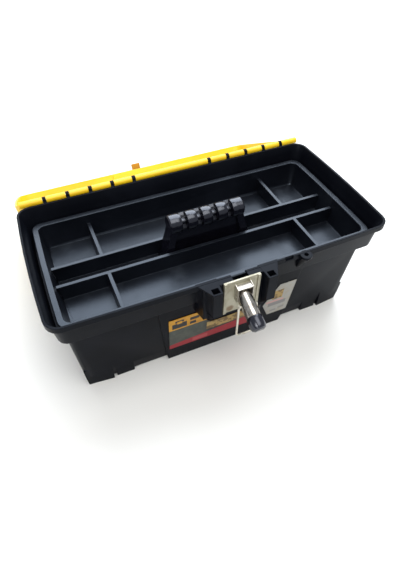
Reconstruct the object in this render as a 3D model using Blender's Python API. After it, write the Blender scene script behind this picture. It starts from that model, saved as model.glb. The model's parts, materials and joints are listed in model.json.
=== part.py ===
# Hand toolbox with a lift-out tray, standing open: black body and tray, yellow lid, wire latch.
# Metres, +Z up. The origin is the centre of the base, the latch side faces -Y, the hinge is at +Y.
import math

import bpy
from mathutils import Matrix, Vector

MM = 0.001

# Body: outer sections from the base to the rim. Each is height, half length, front y, back y,
# corner radius and how far the sides bow out.
BODY_OUTER = [
    (0.0, 179.5, -67.6, 68.4, 5.0, 0.0),
    (3.5, 182.6, -71.4, 71.9, 6.5, 0.0),
    (19.0, 184.5, -73.8, 74.2, 7.0, 0.3),
    (108.0, 189.0, -81.5, 82.5, 8.0, 1.0),
    (119.0, 197.0, -92.5, 93.5, 12.0, 1.5),
    (148.0, 200.0, -96.0, 97.5, 15.0, 2.5),
    (149.0, 203.5, -100.5, 102.0, 15.0, 3.0),
    (156.0, 203.5, -100.5, 102.0, 15.0, 3.0),
]
BODY_INNER = [
    (156.0, 201.0, -98.0, 99.5, 13.0, 3.0),
    (147.0, 197.6, -93.8, 95.2, 13.0, 2.5),
    (121.0, 195.0, -90.5, 91.8, 13.0, 1.5),
    (119.0, 194.8, -90.3, 91.5, 13.0, 1.5),
    (119.0, 189.0, -83.2, 83.8, 14.0, 1.0),
    (106.0, 186.4, -79.0, 80.0, 14.0, 1.0),
    (19.0, 182.0, -71.0, 71.5, 12.5, 0.3),
    (5.0, 178.5, -67.0, 67.5, 11.0, 0.0),
    (3.0, 175.0, -64.0, 64.5, 9.0, 0.0),
]
RIM_Z = 156.0

# Front centre of the body: the latch wall, the two pillars with sockets and the small eyelet
LATCH_WALL_Y = -110.3
LATCH_WALL_HALF = 44.0
WALL = 2.5
PILLAR_INNER_X = 27.0
PILLAR_OUTER_X = 37.8
PILLAR_Y = -122.0
SOCKET_FLOOR_Z = 127.0
NOTCH_HALF = 9.0
NOTCH_Z = 147.0
EYELET_XY = (82.6, -106.2)
EYELET_R = 7.0

# Hinge and lid
HINGE_Y = 107.2
HINGE_Z = 157.0
BARREL_R = 4.3
PIN_R = 1.5
PIN_HOLE_R = 1.8
KNUCKLES = ((-1, 50.5, 29.2), (1, 58.5, 28.2))
KNUCKLES_PER_SIDE = 5
KNUCKLE_WIDTH = 4.2
KNUCKLE_SLOT = 5.0
BARREL_HALF = 198.0
LID_OPEN = math.radians(210.4)
LID_OUTER = [
    (157.2, 203.5, -101.0, 103.0, 15.0, 3.0),
    (163.0, 203.0, -100.4, 99.6, 15.0, 3.0),
    (187.0, 199.0, -96.4, 85.2, 15.0, 2.0),
    (191.5, 196.5, -93.6, 81.0, 13.0, 1.5),
    (193.0, 191.0, -88.0, 76.0, 10.0, 1.0),
]
LID_INNER = [
    (190.8, 189.5, -86.5, 74.5, 9.0, 1.0),
    (189.3, 194.0, -91.2, 79.0, 11.0, 1.5),
    (186.5, 196.5, -94.0, 82.8, 13.0, 2.0),
    (163.0, 200.6, -98.0, 96.8, 13.0, 3.0),
    (157.2, 201.1, -98.6, 100.2, 13.0, 3.0),
]
LID_PAD_Z = (157.6, 187.0)
TONGUE_X = (-6.5, 8.3)

# Carry handle on the lid, in the closed lid's place
GRIP_Y = 0.0
GRIP_AXIS_Z = 199.0
GRIP_HALF = 62.0
GRIP_DROP = 46.0
GRIP_R = 5.0
LUG_HALF = 3.0

# Tray
TRAY_RINGS = [
    (119.3, 191.0, -87.4, 88.0, 11.0, 1.0),
    (137.2, 192.0, -88.4, 89.0, 12.0, 1.5),
    (138.0, 191.2, -87.6, 88.2, 11.0, 1.5),
    (138.0, 185.4, -82.0, 82.6, 8.0, 1.5),
    (137.4, 184.8, -81.4, 82.0, 8.0, 1.5),
    (107.0, 181.0, -77.2, 77.8, 6.0, 1.0),
    (105.0, 179.5, -75.7, 76.3, 5.0, 1.0),
]
TRAY_UNDERSIDE = [
    (103.0, 182.0, -77.8, 78.6, 7.0, 1.0),
    (135.6, 186.8, -83.5, 84.1, 10.0, 1.5),
    (135.6, 189.8, -86.2, 86.8, 10.0, 1.5),
    (119.3, 188.9, -85.3, 85.9, 9.0, 1.0),
]
TRAY_FLOOR_Z = 105.0
DIVIDER_TOP_Z = 125.5
CHANNEL_HALF = 12.3
DIVIDER_TOP = 4.2
DIVIDER_FOOT = 6.2
CROSS_X = (-123.0, 126.5)
CROSS_REACH = 81.0
LONG_REACH = 184.0
SIDE_DRAW = 3.8

# Tray handle
HANDLE_Z = 157.0
HANDLE_HALF = 49.0
HANDLE_X = 6.5
WEB_HALF = 4.5
RIB_R = 11.5
GROOVE_R = 8.0
RIBS = 5
RIB_LENGTH = 14.8

# Latch: the lever turns on the pivot, the bail hangs from a point along the lever
PIVOT_Y = -117.5
PIVOT_Z = 138.0
PLATE_HALF = 21.5
PLATE_Z = (109.0, 157.0)
PLATE_BACK_Y = LATCH_WALL_Y - 0.3
PLATE_FACE_Y = PLATE_BACK_Y - 2.0
LEVER_HALF = 8.0
LEVER_SHEET = 1.2
LEVER_SPAN = (-2.6, 27.0)
LEVER_OPEN = math.radians(69.0)
CAP_SPAN = (27.3, 43.0)
TANG_END = 38.0
BAIL_ALONG = 12.3
BAIL_INWARD = 1.5
BAIL_R = 1.25
BAIL_HALF = 10.8
BAIL_LENGTH = 50.0
RIVET_Z = (114.0, 128.0)
CATCH_Z = (160.0, 186.0)

# The front panel widens upwards, and the feet stand beside it
BASE_GAP = 0.4
PANEL_STEP = 3.0
PANEL_FOOT_X = (-78.0, 86.0)
PANEL_TOP_X = (-88.0, 101.0)
FOOT_TOP_Z = 34.0
CORNER_FOOT_END = 150.5

# Labels: outlines across the front panel, as x and height
LABEL_MAIN = [(-76, 24), (50, 24), (50, 57), (-19, 57), (-25, 62), (-39, 87), (-76, 87)]
LABEL_SIDE = [(64, 26), (93, 26), (97, 87), (73, 87), (54, 50)]
LABEL_THICKNESS = 0.6


def clear_scene():
    for thing in list(bpy.data.objects):
        bpy.data.objects.remove(thing, do_unlink=True)


def make_material(name, colour, roughness, metallic=0.0):
    material = bpy.data.materials.new(name)
    material.use_nodes = True
    shader = material.node_tree.nodes["Principled BSDF"]
    shader.inputs["Base Color"].default_value = (*colour, 1.0)
    shader.inputs["Roughness"].default_value = roughness
    shader.inputs["Metallic"].default_value = metallic
    material.diffuse_color = (*colour, 1.0)
    return material


def make_object(name, points, faces, material=None, smooth=False):
    """An object from points in millimetres."""
    mesh = bpy.data.meshes.new(name)
    mesh.from_pydata([Vector(p) * MM for p in points], [], faces)
    mesh.validate()
    if smooth:
        mesh.shade_smooth()
        mesh.set_sharp_from_angle(angle=math.radians(35.0))
    thing = bpy.data.objects.new(name, mesh)
    bpy.context.scene.collection.objects.link(thing)
    if material:
        mesh.materials.append(material)
    return thing


def loft(name, rings, material=None, smooth=False):
    """Skins rings of equally many points with triangles, and caps the ends."""
    count = len(rings[0])
    points = [p for ring in rings for p in ring]
    faces = []
    for i in range(len(rings) - 1):
        low, high = i * count, (i + 1) * count
        for j in range(count):
            k = (j + 1) % count
            faces.append((low + j, low + k, high + k))
            faces.append((low + j, high + k, high + j))
    faces.append(tuple(range(count - 1, -1, -1)))
    faces.append(tuple(range(low + count, low + 2 * count)))
    return make_object(name, points, faces, material, smooth)


def outline(section, corner_steps=5, long_steps=10, short_steps=5):
    """A rounded rectangle whose front and sides bow out; the back stays straight for the hinge."""
    z, half_x, front, back, radius, bow = section
    centres = [
        (half_x - radius, back - radius, 0.0),
        (-half_x + radius, back - radius, 90.0),
        (-half_x + radius, front + radius, 180.0),
        (half_x - radius, front + radius, 270.0),
    ]
    flat = []
    for i, (cx, cy, start) in enumerate(centres):
        for step in range(corner_steps + 1):
            angle = math.radians(start + 90.0 * step / corner_steps)
            flat.append(Vector((cx + radius * math.cos(angle), cy + radius * math.sin(angle))))
        following = centres[(i + 1) % 4]
        turn = math.radians(following[2])
        arrive = Vector((following[0], following[1]))
        arrive += radius * Vector((math.cos(turn), math.sin(turn)))
        leave = flat[-1].copy()
        steps = long_steps if i % 2 == 0 else short_steps
        for step in range(1, steps):
            flat.append(leave.lerp(arrive, step / steps))
    middle = (front + back) / 2
    half_y = (back - front) / 2
    ring = []
    for p in flat:
        along_x, along_y = p.x / half_x, (p.y - middle) / half_y
        x = p.x + bow * along_x * (1 - along_y**2)
        y = p.y - bow * max(0.0, -along_y) * (1 - along_x**2)
        ring.append((x, y, z))
    return ring


def block(name, low, high, material=None):
    """A box between two corners."""
    rings = []
    for z in (low[2], high[2]):
        rings.append([
            (low[0], low[1], z),
            (high[0], low[1], z),
            (high[0], high[1], z),
            (low[0], high[1], z),
        ])
    return loft(name, rings, material)


def extrusion(name, polygon, low, high, place, material=None, smooth=False):
    """A polygon of (u, v) extruded from low to high; place turns (u, v, w) into (x, y, z)."""
    rings = [[place(u, v, w) for u, v in polygon] for w in (low, high)]
    return loft(name, rings, material, smooth)


def along_x(u, v, w):
    return (w, u, v)


def turned(name, profile, centre, axis, steps=20, material=None, smooth=True):
    """Turns a profile of (distance along the axis, radius) about an axis through centre."""
    axis = Vector(axis).normalized()
    side = axis.orthogonal().normalized()
    up = axis.cross(side)
    rings = []
    for distance, radius in profile:
        middle = Vector(centre) + axis * distance
        ring = []
        for i in range(steps):
            angle = 2 * math.pi * i / steps
            ring.append(middle + radius * (side * math.cos(angle) + up * math.sin(angle)))
        rings.append(ring)
    return loft(name, rings, material, smooth)


def rod(name, start, end, radius, steps=20, material=None):
    span = Vector(end) - Vector(start)
    return turned(name, [(0.0, radius), (span.length, radius)], start, span, steps, material)


def face_out(thing):
    """Turns the whole surface over if it encloses a negative volume."""
    mesh = thing.data
    volume = 0.0
    for polygon in mesh.polygons:
        corners = [mesh.vertices[i].co for i in polygon.vertices]
        for i in range(1, len(corners) - 1):
            volume += corners[0].dot(corners[i].cross(corners[i + 1]))
    if volume < 0:
        mesh.flip_normals()
    return thing


def combine(target, tool, operation):
    """Adds an exact Boolean and hides its tool."""
    face_out(tool)
    step = target.modifiers.new(f"{operation.lower()} {tool.name}", "BOOLEAN")
    step.operation = operation
    step.solver = "EXACT"
    step.object = tool
    tool.hide_render = True
    tool.display_type = "WIRE"


def add(target, *tools):
    for tool in tools:
        combine(target, tool, "UNION")


def cut(target, *tools):
    for tool in tools:
        combine(target, tool, "DIFFERENCE")


def set_origin(thing, centre):
    """Moves the origin, leaving the shape where it is."""
    offset = Vector(centre) * MM
    thing.data.transform(Matrix.Translation(-offset))
    thing.location = offset


def pivot_empty(name, centre, parent=None):
    empty = bpy.data.objects.new(name, None)
    bpy.context.scene.collection.objects.link(empty)
    empty.parent = parent
    empty.location = Vector(centre) * MM - (parent_place(parent) if parent else Vector())
    return empty


def parent_place(parent):
    place = Vector()
    while parent:
        place += parent.location
        parent = parent.parent
    return place


def hang_on(empty, centre, things):
    """Parents things modelled in world millimetres to an empty at centre."""
    for thing in things:
        thing.data.transform(Matrix.Translation(-Vector(centre) * MM))
        thing.parent = empty


def knuckle_places():
    """The knuckles' middles: five on each side, as side, first distance and pitch."""
    places = []
    for side, first, pitch in KNUCKLES:
        for i in range(KNUCKLES_PER_SIDE):
            places.append(side * (first + pitch * i))
    return places


def knuckle_outline():
    """An arm from inside the rim's lip to a round end about the hinge, as (y, z)."""
    points = [(100.7, 155.2), (100.7, 150.6), (104.8, 150.6)]
    for step in range(15):
        angle = math.radians(-60.0 + 235.0 * step / 14)
        points.append((HINGE_Y + BARREL_R * math.cos(angle), HINGE_Z + BARREL_R * math.sin(angle)))
    return points


def panel_y(z, out=0.0):
    """The front panel's face at a height, or a plane standing out from it."""
    low, high = BODY_OUTER[2], BODY_OUTER[3]
    slope = (high[2] - low[2]) / (high[0] - low[0])
    return low[2] + slope * (z - low[0]) - PANEL_STEP - out


def slab(name, span, sections, material=None):
    """A block across span whose sections are (height, outer y, inner y)."""
    rings = []
    for z, outer, inner in sections:
        rings.append([
            (span[0], outer, z),
            (span[1], outer, z),
            (span[1], inner, z),
            (span[0], inner, z),
        ])
    return loft(name, rings, material)


def pillar(side):
    """A pillar beside the latch with a slanted outer side, rooted in the wall all the way up."""
    rings = []
    for z, front, root, spread in (
        (88.0, -86.0, -78.6, 1.5),
        (104.0, -109.0, -80.2, 2.5),
        (109.0, -115.0, -81.2, 3.5),
        (119.0, PILLAR_Y, -91.4, 7.5),
        (123.0, PILLAR_Y, -92.0, 9.0),
        (147.0, PILLAR_Y, -95.0, 10.0),
        (RIM_Z - 0.15, PILLAR_Y, -99.6, 11.5),
    ):
        rings.append([
            (side * (PILLAR_OUTER_X + spread), root, z),
            (side * PILLAR_OUTER_X, front, z),
            (side * PILLAR_INNER_X, front, z),
            (side * (PILLAR_INNER_X - 2.0), root, z),
        ])
    return loft(f"pillar {side}", rings)


def corner_foot(side):
    """A foot at the base's front corner, fading into the wall at its top."""
    rings = []
    for z, corner_x, corner_y, end_y in (
        (BASE_GAP, 182.7, -72.2, -75.2),
        (14.0, 183.7, -73.2, -75.4),
        (FOOT_TOP_Z, 184.6, -74.4, -74.6),
    ):
        rings.append([
            (side * corner_x, corner_y, z),
            (side * CORNER_FOOT_END, end_y, z),
            (side * CORNER_FOOT_END, -66.0 - z * 0.2, z),
            (side * corner_x, -66.0 - z * 0.2, z),
        ])
    return loft(f"corner foot {side}", rings)


def eyelet_boss():
    """The eyelet's disc at the rim, with a gusset that narrows into the wall below."""
    x, y = EYELET_XY
    rings = []
    for z, back, radius in (
        (128.0, 10.6, 2.2),
        (RIM_Z - 3.6, 0.4, EYELET_R - 0.2),
        (RIM_Z - 3.0, 0.0, EYELET_R),
        (RIM_Z - 0.2, 0.0, EYELET_R),
    ):
        ring = []
        for step in range(20):
            angle = 2 * math.pi * step / 20
            ring.append((x + radius * math.cos(angle), y + back + radius * math.sin(angle), z))
        rings.append(ring)
    return loft("eyelet", rings)


def make_body(material):
    rings = [outline(s) for s in BODY_OUTER + BODY_INNER]
    body = loft("body_shell", rings, material, smooth=True)
    face_out(body)

    # The panel that carries the labels, and the thickened feet beside it
    panel_rings = []
    for z, left, right, outer, inner in (
        (BASE_GAP, *PANEL_FOOT_X, panel_y(19.0) + 1.1, -66.0),
        (19.0, PANEL_FOOT_X[0] - 2.0, PANEL_FOOT_X[1] + 5.0, panel_y(19.0), -72.0),
        (108.0, *PANEL_TOP_X, panel_y(108.0), -80.4),
        (111.6, *PANEL_TOP_X, panel_y(111.6), -82.6),
    ):
        panel_rings.append([(left, outer, z), (right, outer, z), (right, inner, z), (left, inner, z)])
    add(body, loft("front panel", panel_rings))
    for side in (-1, 1):
        add(body, corner_foot(side))
        foot = slab(f"foot {side}", sorted((side * 123.5, side * 146.5)), [
            (BASE_GAP, -73.4, -66.0),
            (14.0, -74.2, -71.5),
            (FOOT_TOP_Z - 8.0, -74.0, -72.6),
        ])
        add(body, foot)

    # The latch wall steps out from the rim; it is hollow behind, like the rest of the wall
    step_out = [
        (LATCH_WALL_Y, RIM_Z - 0.3),
        (LATCH_WALL_Y, 107.0),
        (-84.5, 95.0),
        (-80.2, 98.0),
        (-80.8, 107.0),
        (-83.5, 113.0),
        (-93.3, 122.0),
        (-97.3, 147.0),
        (-102.0, RIM_Z - 0.3),
    ]
    hollow = [
        (LATCH_WALL_Y + WALL, RIM_Z - WALL - 0.3),
        (LATCH_WALL_Y + WALL, 109.0),
        (-80.0, 98.5),
        (-70.0, 98.5),
        (-70.0, RIM_Z - WALL - 0.3),
    ]
    pillars = [pillar(side) for side in (-1, 1)]
    add(body, extrusion("latch wall", step_out, -LATCH_WALL_HALF, LATCH_WALL_HALF, along_x))
    add(body, *pillars)
    inner_half = LATCH_WALL_HALF - WALL
    cut(body, extrusion("latch hollow", hollow, -inner_half, inner_half, along_x))
    for side in (-1, 1):
        ends = sorted((side * (PILLAR_INNER_X + 1.8), side * (PILLAR_OUTER_X - 1.0)))
        low = (ends[0], PILLAR_Y + 2.2, SOCKET_FLOOR_Z)
        cut(body, block(f"socket {side}", low, (ends[1], LATCH_WALL_Y - 2.2, RIM_Z + 5.0)))
    cut(body, block("notch", (-NOTCH_HALF, -116.0, NOTCH_Z), (NOTCH_HALF, -90.0, RIM_Z + 5.0)))

    # The eyelet at the rim, and the slot beside it
    add(body, eyelet_boss())
    cut(body, rod("eyelet hole", (*EYELET_XY, RIM_Z - 9.0), (*EYELET_XY, 170.0), 2.6, 16))
    cut(body, block("rim slot", (57.5, -106.0, 152.0), (68.0, -101.5, RIM_Z + 5.0)))

    # Hinge knuckles with their pin holes
    for i, x in enumerate(knuckle_places()):
        half = KNUCKLE_WIDTH / 2
        add(body, extrusion(f"knuckle {i}", knuckle_outline(), x - half, x + half, along_x))
    for side in (-1, 1):
        ends = [(side * 45.0, HINGE_Y, HINGE_Z), (side * 210.0, HINGE_Y, HINGE_Z)]
        cut(body, rod(f"body pin hole {side}", *ends, PIN_HOLE_R, 16))
    for z in RIVET_Z:
        ends = [(0.0, LATCH_WALL_Y - 3.0, z), (0.0, LATCH_WALL_Y + 5.0, z)]
        cut(body, rod(f"body rivet hole {z:.0f}", *ends, PIN_HOLE_R, 16))
    return body


def make_hinge_pins(material):
    for side, name in ((-1, "hinge_pin_left"), (1, "hinge_pin_right")):
        ends = [(side * 48.0, HINGE_Y, HINGE_Z), (side * (BARREL_HALF - 0.5), HINGE_Y, HINGE_Z)]
        face_out(rod(name, *ends, PIN_R, 16, material))


def make_labels(material):
    """Thin stickers lying just off the front panel."""
    for name, corners in (("label_main", LABEL_MAIN), ("label_side", LABEL_SIDE)):
        rings = []
        for out in (0.3, 0.3 + LABEL_THICKNESS):
            rings.append([(x, panel_y(z, out), z) for x, z in corners])
        face_out(loft(name, rings, material))


def make_lid(material):
    rings = [outline(s) for s in LID_INNER + LID_OUTER]
    lid = loft("lid_shell", rings, material, smooth=True)
    face_out(lid)

    # The pad in front that carries the catch, with the tongue that drops into the rim's notch
    pad = slab("lid pad", (-LATCH_WALL_HALF, LATCH_WALL_HALF), [
        (LID_PAD_Z[0], LATCH_WALL_Y, -99.6),
        (LID_PAD_Z[1] - 3.0, LATCH_WALL_Y, -95.5),
        (LID_PAD_Z[1], LATCH_WALL_Y + 4.0, -95.0),
    ])
    tongue = block("tongue", (TONGUE_X[0], -108.4, 148.0), (TONGUE_X[1], -105.4, 159.0))
    add(lid, pad, tongue)

    # The hinge barrel with its web, slotted for the body's knuckles
    web_half = BARREL_HALF - 0.5
    add(lid, block("barrel web", (-web_half, 100.9, 157.7), (web_half, HINGE_Y, 160.6)))
    barrel_ends = [(-BARREL_HALF, HINGE_Y, HINGE_Z), (BARREL_HALF, HINGE_Y, HINGE_Z)]
    add(lid, rod("barrel", *barrel_ends, BARREL_R, 20))
    for i, x in enumerate(knuckle_places()):
        half = KNUCKLE_SLOT / 2
        cut(lid, block(f"knuckle slot {i}", (x - half, 101.4, 150.0), (x + half, 115.0, 163.0)))
    for side in (-1, 1):
        ends = [(side * 47.0, HINGE_Y, HINGE_Z), (side * 210.0, HINGE_Y, HINGE_Z)]
        cut(lid, rod(f"lid pin hole {side}", *ends, PIN_HOLE_R, 16))

    # Lugs for the carry handle and holes for the catch's rivets
    for side in (-1, 1):
        x = side * (GRIP_HALF + GRIP_R + 0.6 + LUG_HALF)
        lug = [(-9.0, 191.5), (9.0, 191.5), (5.0, 202.0), (2.5, 204.0), (-2.5, 204.0), (-5.0, 202.0)]
        add(lid, extrusion(f"lug {side}", lug, x - LUG_HALF, x + LUG_HALF, along_x))
        hole_ends = [(x - 5.0, GRIP_Y, GRIP_AXIS_Z), (x + 5.0, GRIP_Y, GRIP_AXIS_Z)]
        cut(lid, rod(f"lug hole {side}", *hole_ends, PIN_HOLE_R, 16))
        ends = [(side * 5.0, LATCH_WALL_Y - 3.0, 181.0), (side * 5.0, -90.0, 181.0)]
        cut(lid, rod(f"catch rivet hole {side}", *ends, 1.5, 12))
    return lid


def make_lid_catch(metal):
    """A hooked plate on the lid's front, open upwards for the bail's crossbar."""
    back = PLATE_BACK_Y
    face = back - 1.5
    hook = [
        (back, CATCH_Z[0]),
        (back, CATCH_Z[1]),
        (face, CATCH_Z[1]),
        (face, 173.8),
        (-118.8, 173.8),
        (-118.8, 178.6),
        (-120.3, 178.6),
        (-120.3, 172.3),
        (face, 172.3),
        (face, CATCH_Z[0]),
    ]
    catch = face_out(extrusion("lid_catch", hook, -8.0, 8.0, along_x, metal))
    pieces = [catch]
    for side, name in ((-1, "lid_catch_rivet_left"), (1, "lid_catch_rivet_right")):
        x = side * 5.0
        ends = [(x, -116.0, 181.0), (x, -108.0, 181.0)]
        cut(catch, rod(f"catch hole {side}", *ends, 1.5, 12))
        profile = [(0.0, 1.4), (0.9, 2.4), (1.3, 2.5), (1.3, 1.2), (14.0, 1.2), (14.0, 0.6)]
        start = (x, face - 1.6, 181.0)
        pieces.append(face_out(turned(name, profile, start, (0, 1, 0), 12, metal)))
    return pieces


def make_lid_handle(plastic, metal):
    """A U-shaped carry handle; it is built standing up from the closed lid."""
    leg = GRIP_HALF
    top = GRIP_AXIS_Z + GRIP_DROP
    bend = 12.0
    route = [(-leg, GRIP_AXIS_Z - 3.0)]
    for start, cx in ((180.0, -leg + bend), (90.0, leg - bend)):
        for step in range(6):
            angle = math.radians(start - 90.0 * step / 5)
            route.append((cx + bend * math.cos(angle), top - bend + bend * math.sin(angle)))
    route.append((leg, GRIP_AXIS_Z - 3.0))
    handle = flat_tube("lid_handle", route, GRIP_Y, GRIP_R, 12, plastic)
    face_out(handle)
    pins = []
    for side, name in ((-1, "lid_handle_pin_left"), (1, "lid_handle_pin_right")):
        start = (side * (leg - 3.0), GRIP_Y, GRIP_AXIS_Z)
        end = (side * (leg + 11.6), GRIP_Y, GRIP_AXIS_Z)
        deeper = (side * (leg - 3.4), GRIP_Y, GRIP_AXIS_Z)
        beyond = (side * 80.0, GRIP_Y, GRIP_AXIS_Z)
        cut(handle, rod(f"handle hole {side}", deeper, beyond, PIN_HOLE_R, 16))
        pins.append(face_out(rod(name, start, end, PIN_R, 12, metal)))
    return handle, pins


def flat_tube(name, route, y, radius, sides, material):
    """A round bar along a route of (x, z) points in the plane of one y."""
    rings = []
    for i, (x, z) in enumerate(route):
        before = Vector(route[max(0, i - 1)])
        after = Vector(route[min(len(route) - 1, i + 1)])
        along = (after - before).normalized()
        across = Vector((-along.y, along.x))
        ring = []
        for j in range(sides):
            angle = 2 * math.pi * j / sides
            out = radius * math.cos(angle)
            ring.append((x + across.x * out, y + radius * math.sin(angle), z + across.y * out))
        rings.append(ring)
    return loft(name, rings, material, smooth=True)


def divider(name, start, end, offset, across=False):
    """A tapered wall on the tray's floor along x, or along y if across is set.

    Its far ends draw in towards the floor with the tray's sides."""
    rings = []
    foot_z = TRAY_FLOOR_Z - 1.0
    for z, half, draw in ((foot_z, DIVIDER_FOOT / 2, SIDE_DRAW), (DIVIDER_TOP_Z, DIVIDER_TOP / 2, 0.0)):
        low = start + draw if start < -CROSS_REACH + 1 else start
        high = end - draw if end > CROSS_REACH - 1 else end
        ring = [(low, offset - half), (high, offset - half), (high, offset + half), (low, offset + half)]
        if across:
            ring = [(b, a) for a, b in ring]
        rings.append([(a, b, z) for a, b in ring])
    return loft(name, rings)


def make_tray(material):
    """The tray's skin runs from under the floor, round the flange and down to the floor inside."""
    rings = [outline(s) for s in TRAY_UNDERSIDE + TRAY_RINGS]
    tray = loft("tray_shell", rings, material, smooth=True)
    face_out(tray)
    middle = CHANNEL_HALF + DIVIDER_FOOT / 2
    for side, cross_x in zip((-1, 1), CROSS_X):
        add(tray, divider(f"long divider {side}", -LONG_REACH, LONG_REACH, side * middle))
        for across in (-1, 1):
            ends = sorted((across * (middle - 1.0), across * CROSS_REACH))
            add(tray, divider(f"cross divider {side} {across}", *ends, cross_x, across=True))
    return tray


def make_tray_handle(material):
    """A ribbed round grip on two spreading posts, with a thin wall between them."""
    profile = [(-HANDLE_HALF, RIB_R - 1.2), (-HANDLE_HALF + 1.0, RIB_R)]
    groove = (2 * HANDLE_HALF - RIBS * RIB_LENGTH) / (RIBS - 1)
    for i in range(RIBS - 1):
        edge = -HANDLE_HALF + RIB_LENGTH * (i + 1) + groove * i
        profile += [(edge - 0.8, RIB_R), (edge + 0.4, GROOVE_R)]
        profile += [(edge + groove - 0.4, GROOVE_R), (edge + groove + 0.8, RIB_R)]
    profile += [(HANDLE_HALF - 1.0, RIB_R), (HANDLE_HALF, RIB_R - 1.2)]
    centre = (HANDLE_X, 0.0, HANDLE_Z)
    handle = turned("tray_handle", profile, centre, (1, 0, 0), 24, material)
    face_out(handle)
    foot = TRAY_FLOOR_Z + 0.3
    for side in (-1, 1):
        rings = []
        for z, inner, outer, half in (
            (foot, 46.0, 61.0, 11.2),
            (135.0, 42.5, 55.0, 10.4),
            (HANDLE_Z, 38.0, 48.4, 9.0),
        ):
            rings.append([
                (HANDLE_X + side * inner, -half, z),
                (HANDLE_X + side * outer, -half, z),
                (HANDLE_X + side * outer, half, z),
                (HANDLE_X + side * inner, half, z),
            ])
        add(handle, loft(f"handle post {side}", rings))
    for piece, reach, half, low, high in (
        ("base", 50.0, 9.0, foot + 0.2, foot + 3.6),
        ("wall", 45.0, WEB_HALF, foot + 1.2, HANDLE_Z - 6.0),
    ):
        corner = (HANDLE_X - reach, -half, low)
        opposite = (HANDLE_X + reach, half, high)
        add(handle, block(f"handle {piece}", corner, opposite))
    return handle


def make_latch_plate(material):
    y0, y1 = PLATE_BACK_Y, PLATE_FACE_Y
    plate = block("latch_plate", (-PLATE_HALF, y1, PLATE_Z[0]), (PLATE_HALF, y0, PLATE_Z[1]), material)
    face_out(plate)
    ear = [
        (y1 + 0.6, 130.5),
        (-119.5, 130.5),
        (-121.8, 133.5),
        (-121.8, 151.6),
        (y1 + 0.6, 154.0),
    ]
    for side in (-1, 1):
        lip = sorted((side * (PLATE_HALF - 3.2), side * PLATE_HALF))
        low = (lip[0] + 0.02, y1 - 1.4, PLATE_Z[0] + 0.02)
        add(plate, block(f"plate lip {side}", low, (lip[1] - 0.02, y0 - 0.4, PLATE_Z[1] - 0.02)))
        ends = sorted((side * (LEVER_HALF + 0.3), side * (LEVER_HALF + 1.3)))
        add(plate, extrusion(f"ear {side}", ear, *ends, along_x))
    bridge_half = LEVER_HALF + 0.8
    add(plate, block("bridge", (-bridge_half, -121.6, 150.2), (bridge_half, y1 + 0.5, 151.5)))
    cut(plate, rod("ear hole", (-12.0, PIVOT_Y, PIVOT_Z), (12.0, PIVOT_Y, PIVOT_Z), PIN_HOLE_R, 16))
    for z in RIVET_Z:
        ends = [(0.0, y1 - 2.0, z), (0.0, y0 + 2.0, z)]
        cut(plate, rod(f"plate rivet hole {z:.0f}", *ends, PIN_HOLE_R, 16))
    return plate


def make_latch_rivets(material):
    for name, z in zip(("latch_rivet_lower", "latch_rivet_upper"), RIVET_Z):
        grip = PLATE_FACE_Y - 0.3
        back = LATCH_WALL_Y + WALL + 0.3 - grip
        profile = [(-1.4, 1.0), (-1.0, 2.2), (0.0, 3.0), (0.0, PIN_R), (back, PIN_R)]
        profile += [(back, 2.8), (back + 0.8, 2.4), (back + 1.2, 1.0)]
        face_out(turned(name, profile, (0.0, grip, z), (0, 1, 0), 16, material))


def lever_point(along, outward, x):
    """A place on the closed lever: along it from the pivot, and outward from the plate."""
    return (x, PIVOT_Y - outward, PIVOT_Z - along)


def arch(radius, steps):
    """A half round of (x, outward), from +x to -x."""
    turns = [math.pi * i / steps for i in range(steps + 1)]
    return [(radius * math.cos(a), 0.5 + radius * math.sin(a)) for a in turns]


def channel_outline(half, depth, thickness=None, steps=12):
    """A U of (x, outward): legs towards the plate and a half round outside."""
    outer = [(half, -depth), *arch(half, steps), (-half, -depth)]
    if thickness is None:
        return outer
    inner_half = half - thickness
    inner = [(inner_half, -depth), *arch(inner_half, steps), (-inner_half, -depth)]
    return outer + inner[::-1]


def make_lever(metal, plastic):
    """The chromed channel with its tang, and the cap on the tang, built closed against the plate."""
    section = channel_outline(LEVER_HALF, 3.8, LEVER_SHEET)
    rings = [[lever_point(s, n, x) for x, n in section] for s in LEVER_SPAN]
    lever = face_out(loft("latch_lever", rings, metal, smooth=True))
    tang_low = lever_point(TANG_END, 7.2, -3.5)
    tang_high = lever_point(LEVER_SPAN[1] - 2.0, 5.8, 3.5)
    add(lever, block("tang", tang_low, tang_high))
    pivot = (PIVOT_Y, PIVOT_Z)
    cut(lever, rod("lever pivot hole", (-12.0, *pivot), (12.0, *pivot), PIN_HOLE_R, 16))
    bail = lever_point(BAIL_ALONG, -BAIL_INWARD, 0.0)[1:]
    cut(lever, rod("lever bail hole", (-12.0, *bail), (12.0, *bail), BAIL_R + 0.35, 16))

    rings = []
    start, end = CAP_SPAN
    for s, grow, rise in ((start, 0.3, 0.0), (start + 2.0, 0.9, 0.0), (end - 5.0, 0.6, 0.0),
                          (end - 1.6, -0.6, 0.5), (end, -3.0, 1.6)):
        ring = channel_outline(LEVER_HALF + grow, 3.4 - rise)
        rings.append([lever_point(s, n, x) for x, n in ring])
    cap = face_out(loft("latch_lever_cap", rings, plastic, smooth=True))
    slot_low = (-3.9, tang_low[1] - 0.35, PIVOT_Z - TANG_END - 0.4)
    slot_high = (3.9, tang_high[1] + 0.35, PIVOT_Z - start + 1.0)
    cut(cap, block("tang slot", slot_low, slot_high))
    return lever, cap


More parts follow.
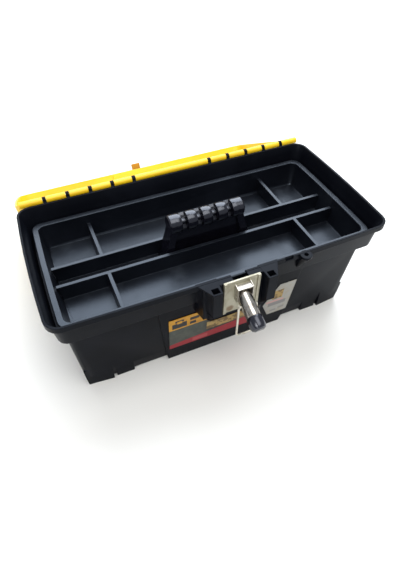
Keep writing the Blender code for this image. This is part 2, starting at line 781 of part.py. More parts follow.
def make_bail(material, pivot):
    """The wire loop, hanging straight down from its ends inside the lever."""
    _, y, z = pivot
    bend = 3.0
    foot = 4.5
    low = z - BAIL_LENGTH
    route = [(-5.8, z)]
    corners = (
        (-BAIL_HALF + bend, z - bend, bend, 90.0, 180.0),
        (-BAIL_HALF + foot, low + foot, foot, 180.0, 270.0),
        (BAIL_HALF - foot, low + foot, foot, 270.0, 360.0),
        (BAIL_HALF - bend, z - bend, bend, 0.0, 90.0),
    )
    for cx, cz, radius, first, last in corners:
        for step in range(6):
            angle = math.radians(first + (last - first) * step / 5)
            route.append((cx + radius * math.cos(angle), cz + radius * math.sin(angle)))
    route.append((5.8, z))
    return face_out(flat_tube("latch_bail", route, y, BAIL_R, 10, material))


def bail_pivot_place():
    """Where the bail hangs once the lever is open, from its place on the closed lever."""
    inward, along = BAIL_INWARD, -BAIL_ALONG
    y = inward * math.cos(LEVER_OPEN) + along * math.sin(LEVER_OPEN)
    z = -inward * math.sin(LEVER_OPEN) + along * math.cos(LEVER_OPEN)
    return (0.0, PIVOT_Y + y, PIVOT_Z + z)


def open_about(empty, angle):
    """Turns an empty about X: the lid and the lever are built closed and stand open."""
    empty.rotation_euler = (-angle, 0.0, 0.0)


def build():
    clear_scene()
    black = make_material("black plastic", (0.030, 0.034, 0.042), 0.42)
    gloss = make_material("gloss black plastic", (0.018, 0.019, 0.024), 0.22)
    yellow = make_material("yellow plastic", (0.93, 0.73, 0.02), 0.38)
    cream = make_material("plated steel", (0.62, 0.60, 0.50), 0.38, 0.6)
    chrome = make_material("chrome", (0.70, 0.70, 0.68), 0.14, 1.0)
    steel = make_material("steel wire", (0.60, 0.58, 0.52), 0.30, 1.0)
    paper = make_material("label paper", (0.75, 0.45, 0.08), 0.5)

    make_body(black)
    make_hinge_pins(steel)
    make_labels(paper)
    make_latch_plate(cream)
    make_latch_rivets(steel)
    pin_half = LEVER_HALF + 1.35
    pin_ends = [(-pin_half, PIVOT_Y, PIVOT_Z), (pin_half, PIVOT_Y, PIVOT_Z)]
    face_out(rod("latch_lever_pin", *pin_ends, PIN_R, 16, steel))

    hinge = (0.0, HINGE_Y, HINGE_Z)
    lid_pivot = pivot_empty("lid pivot", hinge)
    lid = make_lid(yellow)
    catch_pieces = make_lid_catch(steel)
    handle, handle_pins = make_lid_handle(gloss, steel)
    grip = (0.0, GRIP_Y, GRIP_AXIS_Z)
    lid_tools = tools_of(lid, *catch_pieces)
    handle_tools = tools_of(handle)
    hang_on(lid_pivot, hinge, [lid, *catch_pieces, *handle_pins, *lid_tools])
    grip_pivot = pivot_empty("lid handle pivot", grip, lid_pivot)
    hang_on(grip_pivot, grip, [handle, *handle_tools])
    open_about(lid_pivot, LID_OPEN)
    # The handle hangs plumb under the open lid
    open_about(grip_pivot, -(LID_OPEN - math.pi))

    lever_pivot = pivot_empty("lever pivot", (0.0, PIVOT_Y, PIVOT_Z))
    lever, cap = make_lever(chrome, gloss)
    hang_on(lever_pivot, (0.0, PIVOT_Y, PIVOT_Z), [lever, cap, *tools_of(lever, cap)])
    open_about(lever_pivot, LEVER_OPEN)
    place = bail_pivot_place()
    set_origin(make_bail(steel, place), place)

    make_tray(black)
    make_tray_handle(gloss)


def tools_of(*things):
    """The hidden Boolean tools of these objects."""
    return [step.object for thing in things for step in thing.modifiers if step.type == "BOOLEAN"]


build()
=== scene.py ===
import json
import math

import bmesh
import bpy
import numpy as np
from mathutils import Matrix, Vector

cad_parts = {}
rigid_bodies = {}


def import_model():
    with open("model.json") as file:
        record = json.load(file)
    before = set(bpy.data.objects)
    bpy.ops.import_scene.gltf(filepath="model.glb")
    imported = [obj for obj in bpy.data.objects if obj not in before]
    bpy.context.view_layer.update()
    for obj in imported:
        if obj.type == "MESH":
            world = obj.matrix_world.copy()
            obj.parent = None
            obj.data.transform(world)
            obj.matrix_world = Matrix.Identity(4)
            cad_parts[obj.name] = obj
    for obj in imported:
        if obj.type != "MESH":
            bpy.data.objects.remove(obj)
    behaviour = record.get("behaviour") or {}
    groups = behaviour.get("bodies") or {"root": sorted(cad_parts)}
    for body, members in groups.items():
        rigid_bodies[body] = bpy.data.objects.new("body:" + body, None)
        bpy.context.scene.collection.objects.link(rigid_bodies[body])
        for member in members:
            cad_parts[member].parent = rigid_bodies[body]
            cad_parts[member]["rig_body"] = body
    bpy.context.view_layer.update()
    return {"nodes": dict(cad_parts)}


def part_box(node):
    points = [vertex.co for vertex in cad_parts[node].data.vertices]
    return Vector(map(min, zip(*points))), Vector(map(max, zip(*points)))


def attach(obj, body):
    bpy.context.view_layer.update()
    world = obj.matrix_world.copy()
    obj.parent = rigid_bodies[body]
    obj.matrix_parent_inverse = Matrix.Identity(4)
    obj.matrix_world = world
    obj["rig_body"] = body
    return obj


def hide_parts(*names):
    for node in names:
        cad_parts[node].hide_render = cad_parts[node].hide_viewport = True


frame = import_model()
nodes = frame["nodes"]
millimetre = 0.001


# Shader helpers

class Signal:
    # a socket that is written into sums and products, each of which adds its Math node
    def __init__(self, finish, socket):
        self.finish = finish
        self.socket = socket

    def __add__(self, other):
        return self.finish.math("ADD", self, other)

    def __sub__(self, other):
        return self.finish.math("SUBTRACT", self, other)

    def __rsub__(self, other):
        return self.finish.math("SUBTRACT", other, self)

    def __mul__(self, other):
        return self.finish.math("MULTIPLY", self, other)

    def __gt__(self, other):
        return self.finish.math("GREATER_THAN", self, other)

    def __lt__(self, other):
        return self.finish.math("LESS_THAN", self, other)

    __radd__ = __add__
    __rmul__ = __mul__


class Finish:
    # one material: a Principled shader, and the nodes that feed it
    def __init__(self, name, **constants):
        self.material = bpy.data.materials.new(name)
        self.material.use_nodes = True
        self.tree = self.material.node_tree
        self.shader = self.tree.nodes["Principled BSDF"]
        for socket, value in constants.items():
            self.shader.inputs[socket.replace("_", " ")].default_value = value
        self.place = self.node("TexCoord", {}, {}, "Object")
        self.facing = self.node("NewGeometry", {}, {}, "Normal")

    def node(self, kind, settings, inputs, output=0):
        made = self.tree.nodes.new("ShaderNode" + kind)
        for key, value in settings.items():
            setattr(made, key, value)
        for key, value in inputs.items():
            if isinstance(value, Signal):
                self.tree.links.new(value.socket, made.inputs[key])
            else:
                made.inputs[key].default_value = value
        return Signal(self, made.outputs[output])

    def math(self, operation, *values):
        return self.node("Math", {"operation": operation}, dict(enumerate(values)))

    def between(self, value, low, high):
        # 0 below low, 1 above high, and a smooth rise from one to the other
        settings = {"interpolation_type": "SMOOTHSTEP"}
        return self.node("MapRange", settings, {0: value, 1: low, 2: high})

    def mix(self, share, first, second):
        # share of the second colour over the first
        return self.node("Mix", {"data_type": "RGBA"}, {0: share, 6: first, 7: second}, 2)

    def stretched(self, *scale):
        return self.node("Mapping", {}, {"Vector": self.place, "Scale": scale})

    def noise(self, scale, detail=3.0, rough=0.5, where=None):
        inputs = {"Vector": where or self.place, "Scale": scale, "Detail": detail, "Roughness": rough}
        return self.node("TexNoise", {}, inputs)

    def axis(self, vector, which):
        return self.node("SeparateXYZ", {}, {0: vector}, which)

    def millimetres(self, which):
        return self.axis(self.place, which) * (1 / millimetre)

    def window(self, across, up, left, right, low, high):
        # 1 inside a rectangle, 0 outside it
        return (across > left) * (across < right) * (up > low) * (up < high)

    def feed(self, socket, value):
        self.tree.links.new(value.socket, self.shader.inputs[socket])

    def relief(self, *layers, edge=0.0):
        # each layer is height, distance and strength, laid over the rounded edges' normal
        normal = None
        if edge:
            normal = self.node("Bevel", {"samples": 4}, {"Radius": edge})
        for height, distance, strength in layers:
            inputs = {"Height": height, "Distance": distance, "Strength": strength}
            if normal:
                inputs["Normal"] = normal
            normal = self.node("Bump", {}, inputs)
        self.feed("Normal", normal)


def colour(red, green, blue):
    return (red, green, blue, 1.0)


# Finishes: scales are in noise cells a metre, heights and edges in metres

mouldedBlack = {
    "deep": colour(0.0026, 0.0030, 0.0048),
    "pale": colour(0.0048, 0.0056, 0.0086),
    "dust": colour(0.062, 0.070, 0.082),
    "cloudScale": 13.0,
    "grainScale": 1500.0,
    "scratchScale": 55.0,
    "dustScale": 36.0,
    "grainHeight": 0.00005,
    "scratchHeight": 0.00008,
    "edge": 0.0008,
    "settled": 0.10,
    "scuffed": 0.05,
    "roughness": (0.29, 0.40),
    "settledRough": 0.15,
    "scuffRough": 0.08,
    "shine": 0.07,
    "tint": colour(0.78, 0.86, 1.0),
}

trayBlack = dict(
    mouldedBlack,
    settled=0.16,
    roughness=(0.27, 0.37),
    shine=0.46,
    tint=colour(0.70, 0.82, 1.0),
)

glossBlack = dict(
    mouldedBlack,
    deep=colour(0.0028, 0.0028, 0.0050),
    pale=colour(0.005, 0.005, 0.009),
    grainScale=2200.0,
    settled=0.04,
    roughness=(0.13, 0.22),
    shine=0.75,
    tint=colour(0.84, 0.88, 1.0),
)


def mouldedPlastic(name, look):
    # a fine grain, long faint scratches, mould cloudiness, and dust on what faces up
    finish = Finish(name, Specular_IOR_Level=look["shine"], Specular_Tint=look["tint"])
    cloud = finish.noise(look["cloudScale"], 4.0, 0.6)
    grain = finish.noise(look["grainScale"], 2.0, 0.6)
    scratches = finish.noise(look["scratchScale"], 5.0, 0.7, finish.stretched(1.0, 13.0, 9.0))
    upward = finish.between(finish.axis(finish.facing, 2), 0.6, 1.0)
    settled = upward * finish.between(finish.noise(look["dustScale"], 6.0, 0.62), 0.48, 0.78)
    base = finish.mix(finish.between(cloud, 0.35, 0.7), look["deep"], look["pale"])
    base = finish.mix(settled * look["settled"], base, look["dust"])
    scuffs = finish.between(scratches, 0.62, 0.70)
    base = finish.mix(scuffs * look["scuffed"], base, look["dust"])
    finish.feed("Base Color", base)
    smooth, rough = look["roughness"]
    roughness = cloud * (rough - smooth) + smooth
    finish.feed("Roughness", roughness + settled * look["settledRough"] + scuffs * look["scuffRough"])
    layers = (grain, look["grainHeight"], 0.5), (scratches, look["scratchHeight"], 0.25)
    finish.relief(*layers, edge=look["edge"])
    return finish.material


yellowLook = {
    "bright": colour(0.88, 0.585, 0.008),
    "warm": colour(0.80, 0.47, 0.005),
    # painted shade: the tongue is the lid's own yellow plastic, darkened to brown here for the shade
    # under the lid's front edge
    "tongue": colour(0.40, 0.18, 0.02),
    "tongueAt": (0.287, 0.049),   # the tongue is all that lies behind and above this at rest
    "tongueShare": 0.9,
    "grime": colour(0.30, 0.13, 0.02),
    "grimeShare": 0.45,
    "grimeRough": 0.2,
    "cloudScale": 9.0,
    "streakScale": 16.0,
    "markScale": 120.0,
    "peelScale": 420.0,
    "markHeight": 0.00004,
    "peelHeight": 0.00006,
    "edge": 0.0007,
    "roughness": (0.28, 0.46),
}


def yellowPlastic(name, look):
    # warm streaks from the mould, grime in patches, a slight orange peel, and painted shade darkening
    # the tongue to brown
    finish = Finish(name)
    cloud = finish.noise(look["cloudScale"], 4.0, 0.6)
    streaks = finish.noise(look["streakScale"], 5.0, 0.65, finish.stretched(0.5, 4.0, 4.0))
    marks = finish.noise(look["markScale"], 6.0, 0.7)
    base = finish.mix(finish.between(cloud, 0.3, 0.75), look["bright"], look["warm"])
    grime = finish.between(streaks, 0.58, 0.72) * finish.between(marks, 0.45, 0.7)
    base = finish.mix(grime * look["grimeShare"], base, look["grime"])
    # painted shade: the tongue, behind and above tongueAt, is mixed towards a dark brown that stands in
    # for its shadow
    behind, above = look["tongueAt"]
    tongue = (finish.axis(finish.place, 1) > behind) * (finish.axis(finish.place, 2) > above)
    base = finish.mix(tongue * look["tongueShare"], base, look["tongue"])
    finish.feed("Base Color", base)
    smooth, rough = look["roughness"]
    finish.feed("Roughness", cloud * (rough - smooth) + smooth + grime * look["grimeRough"])
    peel = finish.noise(look["peelScale"], 2.0, 0.5)
    layers = (peel, look["peelHeight"], 0.35), (marks, look["markHeight"], 0.2)
    finish.relief(*layers, edge=look["edge"])
    return finish.material


plateLook = {
    "cream": colour(0.40, 0.375, 0.285),
    "dull": colour(0.25, 0.225, 0.15),
    "stain": colour(0.17, 0.095, 0.045),
    "stainAt": (-0.013, -0.112, 0.1145),
    "stainReach": 0.006,
    "stainRagged": 0.010,   # how far the cloudiness moves the stain's edge
    "stainShare": 0.8,
    "pitShare": 0.35,
    "bracket": colour(0.40, 0.37, 0.33),
    "bracketFront": -0.1143,   # what stands out past this is the bracket
    "cloudScale": 70.0,
    "brushScale": 500.0,
    "pitScale": 700.0,
    "brushHeight": 0.00003,
    "pitHeight": 0.00006,
    "edge": 0.0003,
    "shine": 0.6,
    "metallic": 0.25,
    "bracketMetallic": 0.65,   # added to the plate's
    "roughness": 0.26,
    "brushRough": 0.18,
    "stainRough": 0.25,
    "pitRough": 0.2,
    "bracketSmooth": 0.06,
}


def platedSteel(name, look):
    # dull zinc plating: brushed along its height, clouded, with one rusty mark and tiny pits
    finish = Finish(name, Specular_IOR_Level=look["shine"])
    cloud = finish.noise(look["cloudScale"], 5.0, 0.6)
    brush = finish.noise(look["brushScale"], 3.0, 0.6, finish.stretched(1.0, 1.0, 0.06))
    pits = finish.between(finish.noise(look["pitScale"], 3.0, 0.6), 0.66, 0.74)
    base = finish.mix(finish.between(cloud, 0.4, 0.75), look["cream"], look["dull"])
    apart = {0: finish.place, 1: look["stainAt"]}
    offset = finish.node("VectorMath", {"operation": "DISTANCE"}, apart, "Value")
    reach = offset + (cloud - 0.5) * look["stainRagged"]
    stain = 1.0 - finish.between(reach, look["stainReach"] * 0.4, look["stainReach"])
    base = finish.mix(stain * look["stainShare"], base, look["stain"])
    base = finish.mix(pits * look["pitShare"], base, look["stain"])
    bracket = finish.axis(finish.place, 1) < look["bracketFront"]
    base = finish.mix(bracket, base, look["bracket"])
    finish.feed("Base Color", base)
    finish.feed("Metallic", bracket * look["bracketMetallic"] + look["metallic"])
    roughness = brush * look["brushRough"] + look["roughness"] + stain * look["stainRough"]
    finish.feed("Roughness", roughness + pits * look["pitRough"] - bracket * look["bracketSmooth"])
    layers = (brush, look["brushHeight"], 0.3), (pits, look["pitHeight"], -0.4)
    finish.relief(*layers, edge=look["edge"])
    return finish.material


chromeLook = {
    "bright": colour(0.50, 0.47, 0.43),
    "dull": colour(0.24, 0.21, 0.18),
    "roughness": (0.16, 0.30),
    "smudgeScale": 150.0,
    "hairScale": 320.0,
    "hairRough": 0.08,
    "hairHeight": 0.00001,
    "edge": 0.0003,
}

wireLook = dict(
    chromeLook,
    bright=colour(0.66, 0.63, 0.55),
    dull=colour(0.45, 0.40, 0.32),
    roughness=(0.22, 0.42),
)


def brightMetal(name, look):
    # polished or drawn metal with smudges and hairline scratches
    finish = Finish(name, Metallic=1.0)
    smudge = finish.noise(look["smudgeScale"], 4.0, 0.6)
    hair = finish.noise(look["hairScale"], 4.0, 0.7, finish.stretched(1.0, 8.0, 1.0))
    base = finish.mix(finish.between(smudge, 0.42, 0.74), look["bright"], look["dull"])
    finish.feed("Base Color", base)
    smooth, rough = look["roughness"]
    hairline = finish.between(hair, 0.6, 0.72)
    finish.feed("Roughness", smudge * (rough - smooth) + smooth + hairline * look["hairRough"])
    finish.relief((hair, look["hairHeight"], 0.12), edge=look["edge"])
    return finish.material


# a film over the ink, as the Principled shader's constants
filmLook = {"Coat_Roughness": 0.12, "Coat_Weight": 0.12, "Specular_IOR_Level": 0.2}

# each window is its left, right, foot and top, in millimetres
labelLook = {
    "ink": colour(0.016, 0.017, 0.020),
    "orange": colour(0.50, 0.25, 0.020),
    "orangeDeep": colour(0.40, 0.17, 0.012),
    "grey": colour(0.068, 0.074, 0.060),
    "greyDark": colour(0.042, 0.048, 0.041),
    "red": colour(0.27, 0.012, 0.020),
    "redPale": colour(0.38, 0.060, 0.065),
    "tan": colour(0.36, 0.24, 0.08),
    "tanDark": colour(0.13, 0.08, 0.03),
    "white": colour(0.33, 0.325, 0.30),
    "heading": (-90.0, -20.0, 65.0, 90.0),
    "drawingBox": (-72.0, -53.0, 67.5, 77.6),
    "drawingGrip": (-68.0, -57.0, 79.0, 83.0),
    "drawingGap": (-65.6, -59.4, 76.0, 80.8),
    "drawingBars": ((-49.0, -37.0, 76.0, 81.5), (-49.0, -41.0, 67.5, 73.0)),
    "fade": (-34.0, -20.0),   # from the grey to the dark edge, below the heading
    "fadeTop": 65.0,
    "band": (-26.0, 46.0, 42.0, 58.0),
    "stripeTop": 39.0,
    "stripeSlope": 0.085,
    "stripeEnd": 44.0,
    "stripePatch": (-45.0, -24.0, 26.0, 33.5),
    "patchShare": 0.8,
    "wornShare": 0.35,
    "blotchScale": 85.0,
    "speckleScale": 260.0,
    "wornScale": 420.0,
    "rippleScale": 45.0,
    "rippleHeight": 0.0006,
    "speckleHeight": 0.00002,
    "roughness": (0.28, 0.2),   # at the least, and the blotches' share
}


def printedLabel(name, look):
    # blocks of colour placed by x and height, in millimetres, under a clear film
    finish = Finish(name, **filmLook)
    across = finish.millimetres(0)
    up = finish.millimetres(2)
    speckle = finish.noise(look["speckleScale"], 3.0, 0.6)
    blotch = finish.noise(look["blotchScale"], 5.0, 0.65)
    base = finish.mix(finish.between(blotch, 0.35, 0.7), look["greyDark"], look["grey"])
    # the orange heading, with a small drawing of a box and two bars
    heading = finish.window(across, up, *look["heading"])
    orange = finish.mix(finish.between(speckle, 0.4, 0.7), look["orange"], look["orangeDeep"])
    base = finish.mix(heading, base, orange)
    drawing = finish.window(across, up, *look["drawingBox"])
    drawing = drawing + finish.window(across, up, *look["drawingGrip"])
    drawing = drawing - finish.window(across, up, *look["drawingGap"])
    for bar in look["drawingBars"]:
        drawing = drawing + finish.window(across, up, *bar)
    base = finish.mix(drawing, base, look["ink"])
    # the middle fades to the dark edge, with a tan band on the right
    fade = finish.between(across, *look["fade"]) * (up < look["fadeTop"])
    base = finish.mix(fade, base, look["ink"])
    band = finish.window(across, up, *look["band"])
    tan = finish.mix(finish.between(blotch, 0.48, 0.56), look["tan"], look["tanDark"])
    base = finish.mix(band, base, tan)
    # the red stripe along the foot thickens to the right
    stripeTop = across * look["stripeSlope"] + look["stripeTop"]
    stripe = (stripeTop > up) * (across < look["stripeEnd"])
    patch = finish.window(across, up, *look["stripePatch"])
    red = finish.mix(patch * look["patchShare"], look["red"], look["redPale"])
    base = finish.mix(stripe, base, red)
    worn = finish.between(finish.noise(look["wornScale"], 5.0, 0.7), 0.64, 0.72)
    base = finish.mix(worn * look["wornShare"], base, look["white"])
    finish.feed("Base Color", base)
    least, share = look["roughness"]
    finish.feed("Roughness", blotch * share + least)
    ripple = finish.noise(look["rippleScale"], 3.0, 0.5)
    finish.relief((ripple, look["rippleHeight"], 0.25), (speckle, look["speckleHeight"], 0.2))
    return finish.material


sideLook = {
    "white": labelLook["white"],
    "tan": labelLook["tan"],
    "tanDark": labelLook["tanDark"],
    "stripe": colour(0.20, 0.19, 0.19),
    "pink": colour(0.50, 0.26, 0.25),
    "patch": (66.0, 81.0, 58.0, 76.0),
    "bars": (62.0, 88.0, 44.0, 51.5),
    "pinkBar": (58.0, 84.0, 52.5, 55.5),
    "small": ((67.0, 76.0, 31.0, 35.0), (79.0, 88.0, 33.0, 37.5)),
    "smallShare": 0.7,
    "yellowed": 0.3,
    "blotchScale": 110.0,
    "rippleScale": 45.0,
    "rippleHeight": 0.0006,
    "roughness": (0.3, 0.2),   # at the least, and the blotches' share
}


def sideLabel(name, look):
    # a pale sheet with a tan patch, grey blocks and one pink bar
    finish = Finish(name, **filmLook)
    across = finish.millimetres(0)
    up = finish.millimetres(2)
    blotch = finish.noise(look["blotchScale"], 5.0, 0.65)
    base = finish.mix(finish.between(blotch, 0.4, 0.75) * look["yellowed"], look["white"], look["tan"])
    patch = finish.window(across, up, *look["patch"])
    tan = finish.mix(finish.between(blotch, 0.46, 0.54), look["tan"], look["tanDark"])
    base = finish.mix(patch, base, tan)
    bars = finish.window(across, up, *look["bars"])
    base = finish.mix(bars, base, look["stripe"])
    base = finish.mix(finish.window(across, up, *look["pinkBar"]), base, look["pink"])
    left, right = look["small"]
    small = finish.window(across, up, *left) + finish.window(across, up, *right)
    base = finish.mix(small * look["smallShare"], base, look["stripe"])
    finish.feed("Base Color", base)
    least, share = look["roughness"]
    finish.feed("Roughness", blotch * share + least)
    finish.relief((finish.noise(look["rippleScale"], 3.0, 0.5), look["rippleHeight"], 0.25))
    return finish.material


blackPlastic = mouldedPlastic("black_moulded_plastic", mouldedBlack)
trayPlastic = mouldedPlastic("black_tray_plastic", trayBlack)
gripPlastic = mouldedPlastic("black_gloss_plastic", glossBlack)
yellow = yellowPlastic("yellow_moulded_plastic", yellowLook)
plating = platedSteel("dull_zinc_plating", plateLook)
chrome = brightMetal("bright_nickel", chromeLook)
wire = brightMetal("drawn_wire", wireLook)
print("finishes made")


# Carried-over solids, with their edges rounded

solidLook = {
    "mergeWithin": 0.002,   # millimetres
    "flatWithin": 0.6,      # degrees
    "sharpFrom": 32.0,      # degrees
    "segments": 2,
}


def roundedCopy(nodeName, material, width, look):
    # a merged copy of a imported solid, its flat faces joined, its sharp edges given a small round
    source = nodes[nodeName]
    sharp = math.radians(look["sharpFrom"])
    flat = math.radians(look["flatWithin"])
    work = bmesh.new()
    work.from_mesh(source.data)
    bmesh.ops.remove_doubles(work, verts=work.verts, dist=look["mergeWithin"] * millimetre)
    bmesh.ops.dissolve_limit(work, angle_limit=flat, verts=work.verts, edges=work.edges)
    for face in work.faces:
        face.smooth = True
    for edge in work.edges:
        edge.smooth = edge.is_manifold and edge.calc_face_angle() < sharp
    mesh = bpy.data.meshes.new(nodeName + "_finished")
    work.to_mesh(mesh)
    work.free()
    mesh.materials.clear()
    mesh.materials.append(material)
    piece = bpy.data.objects.new(nodeName + "_finished", mesh)
    bpy.context.collection.objects.link(piece)
    if width:
        rounding = piece.modifiers.new("rounded edges", "BEVEL")
        rounding.width = width * millimetre
        rounding.segments = look["segments"]
        rounding.limit_method = "ANGLE"
        rounding.angle_limit = sharp
        rounding.harden_normals = True
        rounding.use_clamp_overlap = True
    body = source["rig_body"]
    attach(piece, body)
    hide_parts(nodeName)


def paint(nodeName, material):
    slots = nodes[nodeName].data.materials
    slots.clear()
    slots.append(material)


nodeFinishes = {
    "body_shell": blackPlastic,
    "tray_shell": trayPlastic,
    "lid_shell": yellow,
    "tray_handle": gripPlastic,
    "lid_handle": gripPlastic,
    "latch_lever_cap": gripPlastic,
    "label_main": printedLabel("printed_label", labelLook),
    "label_side": sideLabel("printed_side_label", sideLook),
    "latch_plate": plating,
    "lid_catch": plating,
    "latch_lever": chrome,
    "latch_bail": wire,
}
for nodeName in nodes:
    paint(nodeName, nodeFinishes.get(nodeName, wire))

# the width of the round on each solid's edges, in millimetres
roundings = {
    "body_shell": 0.5,
    "tray_shell": 0.5,
    "lid_shell": 0.5,
    "latch_plate": 0.25,
    "lid_catch": 0.25,
    "latch_lever_cap": 0.8,
    "latch_lever": 0.12,
    "latch_bail": 0.0,
    "lid_handle": 0.0,
}
for nodeName, width in roundings.items():
    roundedCopy(nodeName, nodeFinishes[nodeName], width, solidLook)
print("solids finished")


# The tray's grip, in millimetres and degrees

gripLook = {
    "axisZ": 157.0,
    "middleX": 6.5,
    "radius": 11.5,
    "slots": (-29.3, -9.7, 9.9, 29.5),   # middles of the finger slots along the grip
    "slotWidth": 6.6,
    "slotDepth": 7.4,
    "slotEdge": 0.5,                # a slot's side rises from this before its edge to this after
    "slotStarts": (-60.0, -55.0),   # degrees round the axis, from the front
    "slotEnds": (118.0, 130.0),
    "shoulder": 0.8,
    "shoulderReach": 4.0,
    "endDrop": 1.4,
    "endReach": 1.6,
    "reachTop": 48.4,
    "reachFoot": 60.6,
    "leanTop": 146.0,     # the ends lean out below this height
    "footGap": 0.1,
    "postInner": 0.80,    # share of the reach at which the wall thickens into a post
    "postRise": 0.03,     # share of the reach that the thickening takes
    "wallHalf": 4.4,
    "postHalf": (8.8, 11.0),
    "sections": 60,
    "slotSections": 33,
    "slotSectionReach": 4.8,
    "wallRows": 14,
    "creaseFrom": 38.0,
}


def closedSheet(name, points, material, body, slotName, crease, *replaced):
    # a grid of points, rows by columns, closed round its columns and capped at both end rows
    rows, columns = points.shape[:2]
    index = np.arange(rows * columns).reshape(rows, columns)
    ahead = np.roll(index, -1, axis=1)
    quads = np.stack([index[:-1], ahead[:-1], ahead[1:], index[1:]], axis=-1).reshape(-1, 4)
    faces = quads.tolist() + [index[0, ::-1].tolist(), index[-1].tolist()]
    mesh = bpy.data.meshes.new(name)
    mesh.from_pydata((points.reshape(-1, 3) * millimetre).tolist(), [], faces)
    work = bmesh.new()
    work.from_mesh(mesh)
    bmesh.ops.recalc_face_normals(work, faces=work.faces)
    for face in work.faces:
        face.smooth = True
    for edge in work.edges:
        edge.smooth = edge.calc_face_angle(0.0) < math.radians(crease)
    work.to_mesh(mesh)
    work.free()
    mesh.materials.append(material)
    piece = bpy.data.objects.new(name, mesh)
    bpy.context.collection.objects.link(piece)
    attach(piece, body)
    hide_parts(*replaced)


def ramp(value, low, high):
    # 0 below low, 1 above high, with a smooth rise
    share = np.clip((value - low) / (high - low), 0.0, 1.0)
    return share * share * (3 - 2 * share)


def trayGrip(look):
    # Each section across the grip rises along the wall's front, goes round the axis and
    # comes down behind. Its radius = full radius - a drop beside each slot - the slot's
    # depth, where the section is inside a slot and the angle between the slot's two ends.
    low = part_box("tray_handle")[0][2] / millimetre + look["footGap"]
    reach = look["reachTop"]
    beside = np.linspace(-look["slotSectionReach"], look["slotSectionReach"], look["slotSections"])
    fine = np.concatenate([middle + beside for middle in look["slots"]])
    coarse = np.linspace(-reach, reach, look["sections"])
    stations = np.unique(np.round(np.concatenate([coarse, fine]), 2))[:, None]
    # the wall, which thickens into a post at each end
    post = ramp(np.abs(stations) / reach, look["postInner"], look["postInner"] + look["postRise"])
    topHalf = look["wallHalf"] + (look["postHalf"][0] - look["wallHalf"]) * post
    footHalf = look["wallHalf"] + (look["postHalf"][1] - look["wallHalf"]) * post
    # the round part starts where its full radius meets the wall's side, and its points
    # lie closer together near both ends
    start = -np.arccos(topHalf / look["radius"])
    front = np.linspace(0.0, 0.08, 16)
    share = np.concatenate([front, np.linspace(0.09, 0.91, 74), np.linspace(0.92, 1.0, 16)])
    angle = start + (math.pi - 2 * start) * share[None, :]
    slot = np.zeros_like(angle)
    shoulder = np.zeros_like(angle)
    slotHalf = look["slotWidth"] / 2
    for middle in look["slots"]:
        away = np.abs(stations - middle)
        slot = np.maximum(slot, 1 - ramp(away, slotHalf - look["slotEdge"], slotHalf + look["slotEdge"]))
        shoulder = np.maximum(shoulder, 1 - ramp(away, slotHalf, slotHalf + look["shoulderReach"]))
    degrees = np.degrees(angle)
    sweep = ramp(degrees, *look["slotStarts"]) * (1 - ramp(degrees, *look["slotEnds"]))
    radius = look["radius"] - look["shoulder"] * shoulder - look["slotDepth"] * slot * sweep
    radius -= look["endDrop"] * ramp(np.abs(stations), reach - look["endReach"], reach)
    arcY = -radius * np.cos(angle)
    arcZ = look["axisZ"] + radius * np.sin(angle)
    rise = np.linspace(0.0, 1.0, look["wallRows"])[None, :-1]
    wallTop = look["axisZ"] + look["radius"] * np.sin(start)
    wallZ = low + (wallTop - low) * rise
    wallY = footHalf + (topHalf - footHalf) * rise
    across = np.concatenate([-wallY, arcY, wallY[:, ::-1]], axis=1)
    height = np.concatenate([wallZ, arcZ, wallZ[:, ::-1]], axis=1)
    # the ends lean out towards the foot
    lean = np.clip((look["leanTop"] - height) / (look["leanTop"] - low), 0.0, 1.0)
    spread = 1 + (look["reachFoot"] / reach - 1) * lean
    points = np.stack([look["middleX"] + stations * spread, across, height], axis=-1)
    crease = look["creaseFrom"]
    closedSheet("tray_grip", points, gripPlastic, "tray", "gloss_black_plastic", crease, "tray_handle")


trayGrip(gripLook)
print("tray grip made")


# Floor, light and camera

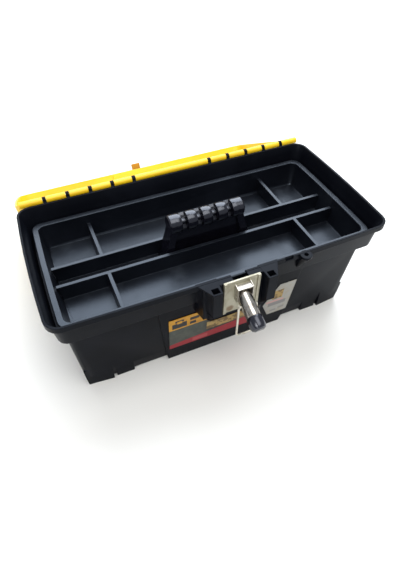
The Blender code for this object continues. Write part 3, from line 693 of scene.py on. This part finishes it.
floorLook = {"size": 30.0, "shade": colour(0.80, 0.79, 0.77), "roughness": 0.9}
half = floorLook["size"] / 2
corners = [(-half, -half, 0), (half, -half, 0), (half, half, 0), (-half, half, 0)]
floorMesh = bpy.data.meshes.new("floor")
floorMesh.from_pydata(corners, [], [(0, 1, 2, 3)])
floor = bpy.data.objects.new("floor", floorMesh)
bpy.context.collection.objects.link(floor)
floorFinish = Finish("pale_floor", Base_Color=floorLook["shade"], Roughness=floorLook["roughness"])
floorMesh.materials.append(floorFinish.material)

studioLook = {"tint": colour(0.90, 0.94, 1.0), "strength": 0.50}
studio = bpy.data.worlds.new("studio")
bpy.context.scene.world = studio
studio.use_nodes = True
background = studio.node_tree.nodes["Background"]
background.inputs["Color"].default_value = studioLook["tint"]
background.inputs["Strength"].default_value = studioLook["strength"]

lamps = {
    "overhead": {"at": (0.1, -0.7, 2.1), "size": 1.6, "power": 30.0, "tint": (1.0, 1.0, 0.97)},
    "behind": {"at": (0.60, 1.45, 1.85), "size": 2.5, "power": 105.0, "tint": (0.88, 0.94, 1.0)},
    "leftFront": {"at": (-1.5, -1.2, 1.5), "size": 0.8, "power": 14.0, "tint": (1.0, 0.98, 0.93)},
}
lampTarget = Vector((0, 0, 0.1))


def addLamp(name, look):
    lamp = bpy.data.lights.new(name, "AREA")
    lamp.shape = "SQUARE"
    lamp.size = look["size"]
    lamp.energy = look["power"]
    lamp.color = look["tint"]
    holder = bpy.data.objects.new(name, lamp)
    holder.location = look["at"]
    holder.rotation_euler = (lampTarget - holder.location).to_track_quat("-Z", "Y").to_euler()
    bpy.context.collection.objects.link(holder)


for name, look in lamps.items():
    addLamp(name, look)

cameraLook = {
    "at": (-0.1680, -0.3885, 0.4996),
    "turn": -23.32,   # degrees about the vertical, from looking along +Y
    "down": 47.73,    # degrees below the horizon
    "lens": 28.17,
    "sensor": 36.0,
}
cameraData = bpy.data.cameras.new("camera")
cameraData.sensor_width = cameraLook["sensor"]
cameraData.lens = cameraLook["lens"]
camera = bpy.data.objects.new("camera", cameraData)
camera.location = cameraLook["at"]
camera.rotation_euler = (math.radians(90 - cameraLook["down"]), 0, math.radians(cameraLook["turn"]))
bpy.context.collection.objects.link(camera)
bpy.context.scene.camera = camera
bpy.context.scene.view_settings.view_transform = "Standard"
print("floor, light and camera placed")
